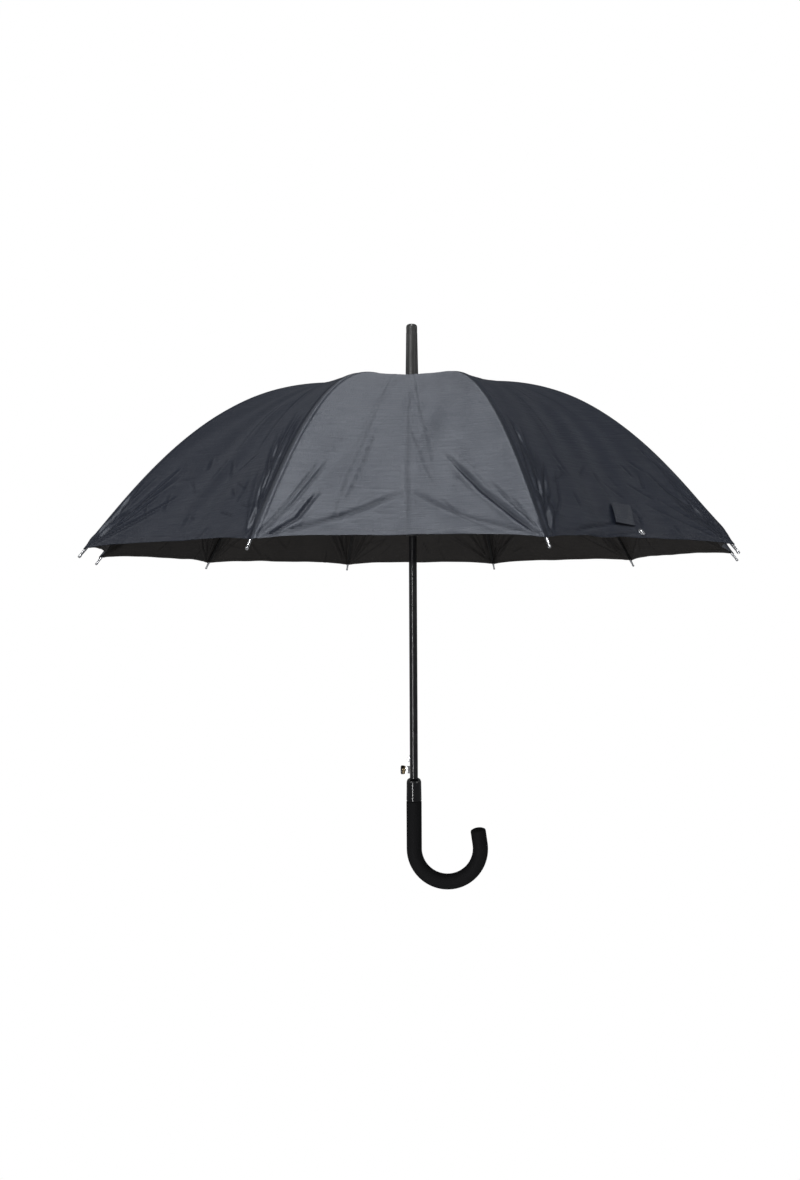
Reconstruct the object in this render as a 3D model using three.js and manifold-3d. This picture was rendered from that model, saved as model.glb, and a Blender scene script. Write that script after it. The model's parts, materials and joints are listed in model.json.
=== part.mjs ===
// A stick umbrella with ten ribs, a push button that lets it spring open, and a crook handle.
// Millimetres. +Z points up to the ferrule and +X to the free end of the crook.
// The origin is in the middle of the straight grip, on the shaft's axis. The umbrella is open.

import * as THREE from 'three';
import { mergeVertices } from 'three/addons/utils/BufferGeometryUtils.js';
import Module from 'manifold-3d';

const wasm = await Module();
wasm.setup();

const GAP = 0.3;                       // clearance between neighbouring pieces
const RIB_COUNT = 10;
const PITCH = 2 * Math.PI / RIB_COUNT; // angle from one rib to the next
const NOTCH_Z = 675;                   // height of the ribs' pivots above the grip

// Ribs: a bent rib is straight at both ends and bends most at its stretcher's bracket.
const RIB_LENGTH = 600;                // along the rib, from the shaft's axis to the tip's end
const RIB_TOP_SLOPE = THREE.MathUtils.degToRad(0.4);
const RIB_BEND = THREE.MathUtils.degToRad(52.2);
const BRACKET_AT = 248.8;              // length along the rib to its stretcher's bracket
const RIB_RADIUS = 1.6;
const RIB_SIDES = 6;
const FLEX_GAP = 1.6;                  // between the two rib halves, where the rib straightens
const TIP_LENGTH = 16;
const TIP_RADIUS = 2.1;
const TIP_BALL_RADIUS = 2.7;

// Linkage, in the plane of one rib. Radii are from the shaft's axis.
const PIVOT_RADIUS = 11.5;             // of the ribs' and the stretchers' inner pivots
const LINK_DROP = 4.5;                 // from a rib's or a stretcher's middle to the pivot under it
const LINK_AT = 75;                    // from a stretcher's inner pivot to its link's pivot
const LINK_LENGTH = 105;
const EYE_RADIUS = 1.9;
const RIB_EYE_WIDTH = 1.8;
const RIB_EYE_LENGTH = 4.4;
const STRETCHER_WIDTH = 2.0;
const LINK_WIDTH = 1.2;
const LINK_EYE_RADIUS = 1.5;
const LUG_WIDTH = 0.9;
const SLOT_WIDTH = 2.7;
const SLOT_FLOOR = 9.3;                // radius of the slots' floors in all three slotted rings
const CROWN_RADIUS = 13.6;

// Shaft and what slides on it.
const SHAFT_RADIUS = 6.25;
const SHAFT_WALL = 0.8;
const SHAFT_TOP = 84;                  // heights from here on are measured from the ribs' pivots
const SHAFT_BOTTOM = -658;
const BORE_RADIUS = SHAFT_RADIUS + GAP;
const RING_SEGMENTS = 32;              // around the shaft and the pieces fixed on it
const NOTCH_TOP = 2.0;                 // top notch's ring and the hub below it
const NOTCH_BOTTOM = -2.3;
const HUB_BOTTOM = -10;
const NEST_CROWN_HALF = 2.8;           // half the thickness of the mid nest's slotted ring
const RUNNER_CROWN_HALF = 3.2;
const NEST_SLEEVE_RADIUS = 8.7;
const NEST_TOP = 8;                    // mid nest's ends, from its pivots
const NEST_BOTTOM = -8;
const RUNNER_CROWN_RADIUS = 18.4;
const RUNNER_TOP = 5;                  // runner's ends, from its pivots
const RUNNER_BOTTOM = -80.4;
const RUNNER_SLEEVE_RADIUS = 8.8;
const RUNNER_LIP_RADIUS = 10.4;
const RUNNER_TRAVEL = 355.2;           // from open to closed
const SPRING_RADIUS = 7.9;
const SPRING_WIRE_RADIUS = 0.55;
const SPRING_TURNS = 8;

// Ferrule, collar, catch and button.
const FERRULE_BOTTOM = 4.3;
const FERRULE_TOP = 104.8;
const COLLAR_TOP = -602.7;
const COLLAR_BOTTOM = -636.7;
const COLLAR_RADIUS = 11.4;
const GRIP_RADIUS = 11.9;
const BEND_CENTRE = -712;              // height of the crook's centre
const BEND_RADIUS = 51.5;
const BEND_ANGLE = THREE.MathUtils.degToRad(188);
const CROOK_LEG = 24;                  // straight length after the bend
const SOCKET_BOTTOM = SHAFT_BOTTOM - 2;
const BUTTON_Z = -589.5;
const BUTTON_REACH = 20.6;             // from the shaft's axis to the button's face
const BUTTON_RADIUS = 7;
const BUTTON_HEAD = 8.2;
const STEM_HEIGHT = 11;
const STEM_WIDTH = 5;
const CATCH_TOP = -566.3;
const CATCH_BOTTOM = -577;
const CATCH_REACH = 10.2;
const CATCH_WIDTH = 2.4;
const STOP_BACK = -3.2;                // inner face of the button's stop inside the tube
const STOP_THICKNESS = 1.4;
const BUTTON_STOP_OVER = 1.1;          // how far the stop reaches past the stem, above and below
const CATCH_STOP_UNDER = 2.4;          // and how far the catch's stop does, below and above it
const CATCH_STOP_ABOVE = 2.2;
const CATCH_STOP_FROM = -4.8;
const CATCH_STOP_TO = -2.6;
const CATCH_BACK = -3;                 // inner face of the catch's nose
const WINDOW_FROM = -8;                // the windows' cutters run through the tube's wall on -X
const WINDOW_TO = -3;

// Canopy: ten cut panels sewn over the ribs. Heights are measured outwards from the rib's middle.
const PANEL_UNDER = 2.6;
const PANEL_OVER = 3.5;
const PANEL_START = 8.6;               // length along the rib where the panels begin
const HEM_AT_RIB = 590;
const HEM_RISE = 14;                   // how much shorter a panel is halfway between two ribs
const PANEL_SAG = 0.022;               // inward sag halfway between ribs, as a share of the radius
const SEAM_HALF_GAP = 0.2;
const PANEL_ROWS = 12;
const PANEL_COLUMNS = 6;

const colours = {
  cloth: [0x23262d, 0.85, 0.0],
  blackSteel: [0x14141a, 0.4, 0.8],
  blackPlastic: [0x121214, 0.45, 0.0],
  glossBlack: [0x0b0b0e, 0.15, 0.0],
  rubberBlack: [0x17171a, 0.8, 0.0],
  brightSteel: [0xc4c6cc, 0.25, 1.0],
  springSteel: [0x8d9096, 0.35, 1.0],
};

const umbrella = new THREE.Group();
umbrella.position.z = NOTCH_Z;

function material(name) {
  const [color, roughness, metalness] = colours[name];
  return new THREE.MeshStandardMaterial({ color, roughness, metalness });
}

function addMesh(parent, name, geometry, colour) {
  const mesh = new THREE.Mesh(geometry, material(colour));
  mesh.name = name;
  parent.add(mesh);
}

// Solids: a closed geometry as a manifold solid and back.

function solidOf(geometry) {
  const bare = new THREE.BufferGeometry();
  bare.setAttribute('position', geometry.getAttribute('position'));
  bare.setIndex(geometry.getIndex());
  const merged = mergeVertices(bare, 1e-4);
  return new wasm.Manifold(new wasm.Mesh({
    numProp: 3,
    vertProperties: new Float32Array(merged.getAttribute('position').array),
    triVerts: new Uint32Array(merged.getIndex().array),
  }));
}

function geometryOf(solid) {
  const mesh = solid.getMesh();
  const geometry = new THREE.BufferGeometry();
  geometry.setAttribute('position', new THREE.BufferAttribute(mesh.vertProperties, 3));
  geometry.setIndex(new THREE.BufferAttribute(mesh.triVerts, 1));
  geometry.computeVertexNormals();
  return geometry;
}

function join(...geometries) {
  return geometryOf(geometries.map(solidOf).reduce((whole, piece) => whole.add(piece)));
}

function cut(geometry, ...tools) {
  const subtract = (whole, tool) => whole.subtract(tool);
  return geometryOf(tools.map(solidOf).reduce(subtract, solidOf(geometry)));
}

// Shapes that several pieces share. A profile is a list of [radius, height] going up the outside.

function turned(profile, segments = 24) {
  const points = profile.map(([radius, height]) => new THREE.Vector2(radius, height));
  return new THREE.LatheGeometry(points, segments).rotateX(Math.PI / 2);
}

function ring(inner, outer, bottom, top, segments = 24) {
  const section = [[inner, bottom], [outer, bottom], [outer, top], [inner, top], [inner, bottom]];
  return turned(section, segments);
}

function box(x0, x1, y0, y1, z0, z1) {
  return new THREE.BoxGeometry(x1 - x0, y1 - y0, z1 - z0)
    .translate((x0 + x1) / 2, (y0 + y1) / 2, (z0 + z1) / 2);
}

function circlePoints(radius, count) {
  return Array.from({ length: count }, (_, i) => {
    const angle = 2 * Math.PI * i / count;
    return new THREE.Vector2(radius * Math.cos(angle), radius * Math.sin(angle));
  });
}

function rod(path, radius, sides, steps) {
  const shape = new THREE.Shape(circlePoints(radius, sides));
  return new THREE.ExtrudeGeometry(shape, { steps, extrudePath: path, bevelEnabled: false });
}

// A flat plate in the plane of a rib: the shape's x is the radius and its y the height.
function plate(shape, width, side = 0) {
  return new THREE.ExtrudeGeometry(shape, { depth: width, bevelEnabled: false, curveSegments: 5 })
    .translate(0, 0, -width / 2)
    .rotateX(Math.PI / 2)
    .translate(0, side, 0);
}

// A bar with round ends from one pivot to another.
function bar(from, to, radius) {
  const angle = Math.atan2(to.y - from.y, to.x - from.x);
  const shape = new THREE.Shape();
  shape.absarc(from.x, from.y, radius, angle + Math.PI / 2, angle + 1.5 * Math.PI);
  shape.absarc(to.x, to.y, radius, angle - Math.PI / 2, angle + Math.PI / 2);
  return shape;
}

// A ring that is slotted from its rim inwards for the end of each rib, stretcher or link.
function slottedRing(rim, bottom, top) {
  const halfAtRim = Math.asin(SLOT_WIDTH / 2 / rim);
  const halfAtFloor = Math.asin(SLOT_WIDTH / 2 / SLOT_FLOOR);
  const polar = (radius, angle) => new THREE.Vector2(radius * Math.cos(angle), radius * Math.sin(angle));
  const outline = [];
  for (let i = 0; i < RIB_COUNT; i++) {
    const slot = i * PITCH;
    outline.push(polar(SLOT_FLOOR, slot + halfAtFloor));
    outline.push(polar(rim, slot + halfAtRim));
    outline.push(polar(rim, slot + PITCH / 2));
    outline.push(polar(rim, slot + PITCH - halfAtRim));
    outline.push(polar(SLOT_FLOOR, slot + PITCH - halfAtFloor));
  }
  const shape = new THREE.Shape(outline);
  shape.holes.push(new THREE.Path(circlePoints(BORE_RADIUS, 24)));
  return new THREE.ExtrudeGeometry(shape, { depth: top - bottom, bevelEnabled: false })
    .translate(0, 0, bottom);
}

// The bent rib's curve, in its own radial plane.

function ribSlope(length) {
  const t = length / RIB_LENGTH;
  const peak = BRACKET_AT / RIB_LENGTH;
  const bent = t < peak ? t * t / peak : 1 - (1 - t) ** 2 / (1 - peak);
  return RIB_TOP_SLOPE + RIB_BEND * bent;
}

const ribTable = [new THREE.Vector2(0, 0)];
for (let length = 0; length < RIB_LENGTH; length++) {
  const slope = ribSlope(length + 0.5);
  ribTable.push(new THREE.Vector2(Math.cos(slope), -Math.sin(slope)).add(ribTable[length]));
}

// A point on the rib's middle line, or a distance outwards from it.
function ribPoint(length, outwards = 0) {
  const before = Math.min(Math.floor(length), RIB_LENGTH - 1);
  const slope = ribSlope(length);
  return new THREE.Vector2(Math.sin(slope), Math.cos(slope)).multiplyScalar(outwards)
    .add(ribTable[before].clone().lerp(ribTable[before + 1], length - before));
}

class RibPath extends THREE.Curve {
  constructor(from, to) {
    super();
    this.from = from;
    this.to = to;
  }

  getPoint(t, target = new THREE.Vector3()) {
    const point = ribPoint(THREE.MathUtils.lerp(this.from, this.to, t));
    return target.set(point.x, 0, point.y);
  }
}

// Where the linkage's pivots are when the umbrella is open.
const ribPivot = new THREE.Vector2(PIVOT_RADIUS, ribPoint(PIVOT_RADIUS).y);
const bracketPivot = ribPoint(BRACKET_AT, -LINK_DROP);
const nestPivot = new THREE.Vector2(PIVOT_RADIUS, 2 * bracketPivot.y - ribPivot.y);
const alongStretcher = bracketPivot.clone().sub(nestPivot).normalize();
const underStretcher = new THREE.Vector2(alongStretcher.y, -alongStretcher.x);
const linkPivot = nestPivot.clone()
  .addScaledVector(alongStretcher, LINK_AT)
  .addScaledVector(underStretcher, LINK_DROP);
const runnerRadius = PIVOT_RADIUS + LINK_DROP;
const runnerPivot = new THREE.Vector2(
  runnerRadius,
  linkPivot.y - Math.sqrt(LINK_LENGTH ** 2 - (linkPivot.x - runnerRadius) ** 2),
);

// Fixed pieces on the shaft.

function shaftTube() {
  const tube = ring(SHAFT_RADIUS - SHAFT_WALL, SHAFT_RADIUS, SHAFT_BOTTOM, SHAFT_TOP, RING_SEGMENTS);
  const windowIn = (halfWidth, bottom, top) => box(
    WINDOW_FROM, WINDOW_TO, -halfWidth - GAP, halfWidth + GAP, bottom - GAP, top + GAP,
  );
  const halfStem = STEM_HEIGHT / 2;
  const buttonWindow = windowIn(STEM_WIDTH / 2, BUTTON_Z - halfStem, BUTTON_Z + halfStem);
  const catchWindow = windowIn(CATCH_WIDTH / 2, CATCH_BOTTOM, CATCH_TOP);
  return cut(tube, buttonWindow, catchWindow);
}

function ferrule() {
  const bore = SHAFT_TOP + 1;
  return turned([
    [0, bore], [BORE_RADIUS, bore], [BORE_RADIUS, FERRULE_BOTTOM],
    [11, FERRULE_BOTTOM], [11, FERRULE_BOTTOM + 1.5], [10.3, FERRULE_BOTTOM + 4],
    [8.9, FERRULE_TOP - 15], [8.9, FERRULE_TOP - 13], [8.4, FERRULE_TOP - 12.6],
    [8.4, FERRULE_TOP - 3], [7.4, FERRULE_TOP - 0.8], [6, FERRULE_TOP], [0, FERRULE_TOP],
  ], RING_SEGMENTS);
}

function topNotch() {
  const crown = slottedRing(CROWN_RADIUS, NOTCH_BOTTOM, NOTCH_TOP);
  const hub = ring(BORE_RADIUS, SLOT_FLOOR - 0.1, HUB_BOTTOM, NOTCH_TOP - 0.1);
  return join(crown, hub);
}

function handleCollar() {
  return turned([
    [BORE_RADIUS, COLLAR_BOTTOM], [GRIP_RADIUS - 0.1, COLLAR_BOTTOM],
    [COLLAR_RADIUS, COLLAR_TOP - 12], [COLLAR_RADIUS, COLLAR_TOP - 5.5],
    [10.7, COLLAR_TOP - 3], [9.2, COLLAR_TOP - 1], [7.2, COLLAR_TOP],
    [BORE_RADIUS, COLLAR_TOP], [BORE_RADIUS, COLLAR_BOTTOM],
  ], RING_SEGMENTS);
}

// The crook's middle line: straight down, around the bend and up a short leg, in the XZ plane.
class CrookPath extends THREE.Curve {
  constructor() {
    super();
    this.straight = COLLAR_BOTTOM - GAP - BEND_CENTRE;
    this.arc = BEND_RADIUS * BEND_ANGLE;
    this.whole = this.straight + this.arc + CROOK_LEG;
  }

  getPoint(t, target = new THREE.Vector3()) {
    const length = t * this.whole;
    if (length <= this.straight) return target.set(0, 0, BEND_CENTRE + this.straight - length);
    const angle = Math.min((length - this.straight) / BEND_RADIUS, BEND_ANGLE);
    const leg = Math.max(length - this.straight - this.arc, 0);
    return target.set(
      BEND_RADIUS * (1 - Math.cos(angle)) + leg * Math.sin(angle),
      0,
      BEND_CENTRE - BEND_RADIUS * Math.sin(angle) - leg * Math.cos(angle),
    );
  }
}

function handle() {
  const crook = rod(new CrookPath(), GRIP_RADIUS, 16, 28);
  const socketTop = COLLAR_BOTTOM + 1;
  const socket = turned([
    [0, SOCKET_BOTTOM], [BORE_RADIUS, SOCKET_BOTTOM], [BORE_RADIUS, socketTop], [0, socketTop],
  ]);
  return cut(crook, socket);
}

// Pieces that slide.

function midNest() {
  const crown = slottedRing(CROWN_RADIUS, -NEST_CROWN_HALF, NEST_CROWN_HALF);
  const sleeve = ring(BORE_RADIUS, NEST_SLEEVE_RADIUS, NEST_BOTTOM, NEST_TOP);
  return join(crown, sleeve).translate(0, 0, nestPivot.y);
}

function runner() {
  const crown = slottedRing(RUNNER_CROWN_RADIUS, -RUNNER_CROWN_HALF, RUNNER_CROWN_HALF);
  const sleeve = turned([
    [BORE_RADIUS, RUNNER_BOTTOM], [RUNNER_LIP_RADIUS, RUNNER_BOTTOM],
    [RUNNER_LIP_RADIUS, RUNNER_BOTTOM + 3], [RUNNER_SLEEVE_RADIUS, RUNNER_BOTTOM + 4.5],
    [RUNNER_SLEEVE_RADIUS, RUNNER_TOP],
    [BORE_RADIUS, RUNNER_TOP], [BORE_RADIUS, RUNNER_BOTTOM],
  ]);
  const closedPivot = runnerPivot.y - RUNNER_TRAVEL;
  const halfWindow = CATCH_WIDTH / 2 + 2 * GAP;
  const catchWindow = box(
    -12, -5, -halfWindow, halfWindow,
    CATCH_BOTTOM - 2 * GAP - closedPivot, CATCH_TOP + 2 * GAP - closedPivot,
  );
  return cut(join(crown, sleeve), catchWindow).translate(0, 0, runnerPivot.y);
}

class Helix extends THREE.Curve {
  getPoint(t, target = new THREE.Vector3()) {
    const top = nestPivot.y + NEST_BOTTOM - SPRING_WIRE_RADIUS - GAP;
    const bottom = runnerPivot.y + RUNNER_TOP + SPRING_WIRE_RADIUS + GAP;
    const angle = 2 * Math.PI * SPRING_TURNS * t;
    return target.set(
      SPRING_RADIUS * Math.cos(angle),
      SPRING_RADIUS * Math.sin(angle),
      THREE.MathUtils.lerp(top, bottom, t),
    );
  }
}

function mainSpring() {
  return rod(new Helix(), SPRING_WIRE_RADIUS, 5, SPRING_TURNS * 9);
}

function pushButton() {
  const head = turned([
    [0, 0], [5.6, 0], [6.6, 0.6], [BUTTON_RADIUS, 2], [6.9, 4.4], [6.2, 6.4],
    [4.8, 7.6], [2.6, BUTTON_HEAD], [0, BUTTON_HEAD],
  ]).rotateY(-Math.PI / 2).translate(BUTTON_HEAD - BUTTON_REACH, 0, BUTTON_Z);
  const halfWidth = STEM_WIDTH / 2;
  const halfHeight = STEM_HEIGHT / 2;
  const upright = (from, half) => box(
    from, STOP_BACK, -halfWidth, halfWidth, BUTTON_Z - half, BUTTON_Z + half,
  );
  const stem = upright(BUTTON_HEAD - BUTTON_REACH - 0.5, halfHeight);
  const stop = upright(STOP_BACK - STOP_THICKNESS, halfHeight + BUTTON_STOP_OVER);
  return join(head, stem, stop);
}

function closingCatch() {
  const nose = new THREE.Shape();
  nose.moveTo(CATCH_BACK, CATCH_BOTTOM);
  nose.lineTo(-9.2, CATCH_BOTTOM);
  nose.lineTo(-CATCH_REACH, CATCH_BOTTOM + 1.6);
  nose.lineTo(-CATCH_REACH, CATCH_BOTTOM + 4);
  nose.lineTo(-6.2, CATCH_TOP);
  nose.lineTo(CATCH_BACK, CATCH_TOP);
  const stop = box(
    CATCH_STOP_FROM, CATCH_STOP_TO, -CATCH_WIDTH / 2, CATCH_WIDTH / 2,
    CATCH_BOTTOM - CATCH_STOP_UNDER, CATCH_TOP + CATCH_STOP_ABOVE,
  );
  return join(plate(nose, CATCH_WIDTH), stop);
}

// Pieces of one rib, in its radial plane.

function ribInner() {
  const start = ribPoint(PIVOT_RADIUS + RIB_EYE_LENGTH);
  const eye = plate(bar(ribPivot, start, EYE_RADIUS), RIB_EYE_WIDTH);
  const rodEnd = BRACKET_AT - FLEX_GAP / 2;
  const rib = rod(new RibPath(PIVOT_RADIUS + RIB_EYE_LENGTH - 0.6, rodEnd), RIB_RADIUS, RIB_SIDES, 6);
  const lugSide = STRETCHER_WIDTH / 2 + GAP + LUG_WIDTH / 2;
  const lug = plate(bar(ribPoint(BRACKET_AT - 2.6), bracketPivot, EYE_RADIUS), LUG_WIDTH, -lugSide);
  return join(eye, rib, lug);
}

function ribOuter() {
  const path = new RibPath(BRACKET_AT + FLEX_GAP / 2, RIB_LENGTH - TIP_LENGTH + 2);
  const rib = rod(path, RIB_RADIUS, RIB_SIDES, 9);
  const slope = ribSlope(RIB_LENGTH - TIP_LENGTH / 2);
  const end = ribPoint(RIB_LENGTH);
  const tip = turned([
    [0, 0], [TIP_RADIUS, 0], [TIP_RADIUS, TIP_LENGTH - 5.2], [TIP_BALL_RADIUS, TIP_LENGTH - 3.6],
    [TIP_BALL_RADIUS, TIP_LENGTH - 1.8], [1.6, TIP_LENGTH], [0, TIP_LENGTH],
  ], 8)
    .translate(0, 0, -TIP_LENGTH)
    .rotateY(Math.PI / 2 + slope)
    .translate(end.x, 0, end.y);
  return join(rib, tip);
}

function stretcher() {
  const body = plate(bar(nestPivot, bracketPivot, EYE_RADIUS), STRETCHER_WIDTH);
  const above = nestPivot.clone().addScaledVector(alongStretcher, LINK_AT);
  const lugSide = LINK_WIDTH / 2 + GAP + LUG_WIDTH / 2;
  const lug = plate(bar(above, linkPivot, LINK_EYE_RADIUS), LUG_WIDTH, -lugSide);
  return join(body, lug);
}

function spreaderLink() {
  return plate(bar(runnerPivot, linkPivot, LINK_EYE_RADIUS), LINK_WIDTH);
}

// One canopy panel between two ribs, about the plane halfway between them.
// It spans straight across from seam to seam, sags inwards a little and has a curved hem.
function canopyPanel() {
  const across = PANEL_COLUMNS + 1;
  const halfPitch = PITCH / 2;
  const positions = [];
  const faces = [];
  const panelPoint = (row, column, outwards) => {
    const side = 2 * column / PANEL_COLUMNS - 1;
    const end = HEM_AT_RIB - HEM_RISE * (1 - Math.abs(side) ** 3);
    const length = THREE.MathUtils.lerp(PANEL_START, end, row / PANEL_ROWS);
    const radius = ribPoint(length).x;
    const sag = PANEL_SAG * radius * (1 - side * side);
    const point = ribPoint(length, outwards - sag);
    const halfWidth = radius * Math.sin(halfPitch) - SEAM_HALF_GAP;
    return [point.x * Math.cos(halfPitch), side * halfWidth, point.y];
  };
  for (const outwards of [PANEL_UNDER, PANEL_OVER]) {
    for (let row = 0; row <= PANEL_ROWS; row++) {
      for (let column = 0; column < across; column++) {
        positions.push(...panelPoint(row, column, outwards));
      }
    }
  }
  const over = (PANEL_ROWS + 1) * across;
  const quad = (a, b, c, d) => faces.push(a, b, c, a, c, d);
  for (let row = 0; row < PANEL_ROWS; row++) {
    for (let column = 0; column < PANEL_COLUMNS; column++) {
      const corner = row * across + column;
      quad(over + corner, over + corner + across, over + corner + across + 1, over + corner + 1);
      quad(corner, corner + 1, corner + across + 1, corner + across);
    }
    const left = row * across;
    const right = left + PANEL_COLUMNS;
    quad(left, left + across, over + left + across, over + left);
    quad(right + across, right, over + right, over + right + across);
  }
  for (let column = 0; column < PANEL_COLUMNS; column++) {
    const hem = PANEL_ROWS * across + column;
    quad(column + 1, column, over + column, over + column + 1);
    quad(hem, hem + 1, over + hem + 1, over + hem);
  }
  const geometry = new THREE.BufferGeometry();
  geometry.setAttribute('position', new THREE.Float32BufferAttribute(positions, 3));
  geometry.setIndex(faces);
  geometry.computeVertexNormals();
  return geometry;
}

addMesh(umbrella, 'shaft_tube', shaftTube(), 'blackSteel');
addMesh(umbrella, 'ferrule', ferrule(), 'blackPlastic');
addMesh(umbrella, 'top_notch', topNotch(), 'blackPlastic');
addMesh(umbrella, 'handle_collar', handleCollar(), 'glossBlack');
addMesh(umbrella, 'handle', handle(), 'rubberBlack');
addMesh(umbrella, 'mid_nest', midNest(), 'blackPlastic');
addMesh(umbrella, 'runner', runner(), 'blackPlastic');
addMesh(umbrella, 'main_spring', mainSpring(), 'springSteel');
addMesh(umbrella, 'push_button', pushButton(), 'glossBlack');
addMesh(umbrella, 'closing_catch', closingCatch(), 'brightSteel');

const ribPieces = [
  ['rib_inner', ribInner(), 'blackSteel', 0],
  ['rib_outer', ribOuter(), 'blackSteel', 0],
  ['stretcher', stretcher(), 'blackSteel', 0],
  ['spreader_link', spreaderLink(), 'blackSteel', 0],
  ['canopy_panel', canopyPanel(), 'cloth', PITCH / 2],
];
for (let i = 0; i < RIB_COUNT; i++) {
  for (const [name, geometry, colour, turn] of ribPieces) {
    const plane = new THREE.Group();
    plane.rotation.z = i * PITCH + turn;
    umbrella.add(plane);
    addMesh(plane, `${name}_${String(i + 1).padStart(2, '0')}`, geometry, colour);
  }
}

export default umbrella;
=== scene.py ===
"""Stick umbrella: the looks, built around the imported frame. Metres, +Z up, +X towards the crook's end."""
import bpy
import json
import math
import random
import numpy as np
from mathutils import Matrix, Vector


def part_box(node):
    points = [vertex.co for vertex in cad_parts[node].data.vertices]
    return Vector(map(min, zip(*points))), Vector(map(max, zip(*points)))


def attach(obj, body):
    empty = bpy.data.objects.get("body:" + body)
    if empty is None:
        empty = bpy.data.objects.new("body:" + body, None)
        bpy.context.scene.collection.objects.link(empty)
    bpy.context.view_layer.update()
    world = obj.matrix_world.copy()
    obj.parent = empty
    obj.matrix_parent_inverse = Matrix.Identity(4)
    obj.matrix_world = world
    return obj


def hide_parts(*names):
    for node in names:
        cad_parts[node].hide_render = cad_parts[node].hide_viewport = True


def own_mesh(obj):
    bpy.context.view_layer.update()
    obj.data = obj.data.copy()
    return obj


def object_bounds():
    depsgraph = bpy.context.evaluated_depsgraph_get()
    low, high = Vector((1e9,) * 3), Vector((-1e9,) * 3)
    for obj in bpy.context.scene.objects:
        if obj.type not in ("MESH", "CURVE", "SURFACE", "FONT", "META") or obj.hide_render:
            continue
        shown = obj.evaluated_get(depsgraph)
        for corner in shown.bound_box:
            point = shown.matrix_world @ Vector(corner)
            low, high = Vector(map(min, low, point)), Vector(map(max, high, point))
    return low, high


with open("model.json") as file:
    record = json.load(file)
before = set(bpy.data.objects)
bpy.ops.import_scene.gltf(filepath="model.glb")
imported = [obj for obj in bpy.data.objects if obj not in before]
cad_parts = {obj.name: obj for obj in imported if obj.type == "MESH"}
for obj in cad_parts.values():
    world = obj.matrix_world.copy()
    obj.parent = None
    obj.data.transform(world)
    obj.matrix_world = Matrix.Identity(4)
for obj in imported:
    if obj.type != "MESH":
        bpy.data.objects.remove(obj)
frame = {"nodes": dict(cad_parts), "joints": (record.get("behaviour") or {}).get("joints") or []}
cad_box = [list(corner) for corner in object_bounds()]
nodes = frame["nodes"]
joints = {joint["name"]: joint for joint in frame["joints"]}

MM = 0.001
RIBS = 10
PITCH = 2 * math.pi / RIBS
HALF = PITCH / 2

# The ribs' curve, as in the CAD source: slope from the level at each length along the rib.
RIB_LENGTH = 0.600
RIB_TOP_SLOPE = math.radians(0.4)
RIB_BEND = math.radians(52.2)
BRACKET_AT = 0.2488
PIVOT_RADIUS = Vector(joints["rib_hinge_01"]["pos_m"]).x
NOTCH_Z = 0.675

# ---------------------------------------------------------------- camera and light

CAMERA_DISTANCE = 1.374
CAMERA_HEIGHT = NOTCH_Z - 0.309
CAMERA_ORBIT = math.radians(1.9)
CAMERA_ROLL = 0.005
LENS = 26.87
SIDE_SHIFT = -0.011


def make_camera():
    data = bpy.data.cameras.new("camera")
    data.lens = LENS
    data.sensor_width = 36
    data.shift_x = SIDE_SHIFT
    data.clip_end = 100
    camera = bpy.data.objects.new("camera", data)
    bpy.context.scene.collection.objects.link(camera)
    away = Vector((math.sin(CAMERA_ORBIT), -math.cos(CAMERA_ORBIT), 0))
    camera.location = away * CAMERA_DISTANCE + Vector((0, 0, CAMERA_HEIGHT))
    turn = (-away).to_track_quat("-Z", "Y").to_matrix()
    camera.rotation_euler = (turn @ Matrix.Rotation(-CAMERA_ROLL, 3, "Z")).to_euler()
    bpy.context.scene.camera = camera


def area_light(name, place, aim, size, watts):
    data = bpy.data.lights.new(name, "AREA")
    data.shape = "RECTANGLE"
    data.size, data.size_y = size
    data.energy = watts
    light = bpy.data.objects.new(name, data)
    bpy.context.scene.collection.objects.link(light)
    light.location = place
    light.rotation_euler = (Vector(aim) - Vector(place)).to_track_quat("-Z", "Y").to_euler()


def make_world():
    world = bpy.data.worlds.new("studio")
    bpy.context.scene.world = world
    world.use_nodes = True
    tree = world.node_tree
    tree.nodes.clear()
    out = tree.nodes.new("ShaderNodeOutputWorld")
    mix = tree.nodes.new("ShaderNodeMixShader")
    path = tree.nodes.new("ShaderNodeLightPath")
    seen = tree.nodes.new("ShaderNodeBackground")
    seen.inputs["Color"].default_value = (1, 1, 1, 1)
    seen.inputs["Strength"].default_value = 1.0
    lit = tree.nodes.new("ShaderNodeBackground")
    lit.inputs["Color"].default_value = (0.95, 0.97, 1, 1)
    lit.inputs["Strength"].default_value = 0.16
    tree.links.new(path.outputs["Is Camera Ray"], mix.inputs[0])
    tree.links.new(lit.outputs[0], mix.inputs[1])
    tree.links.new(seen.outputs[0], mix.inputs[2])
    tree.links.new(mix.outputs[0], out.inputs["Surface"])


# ---------------------------------------------------------------- materials


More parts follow.
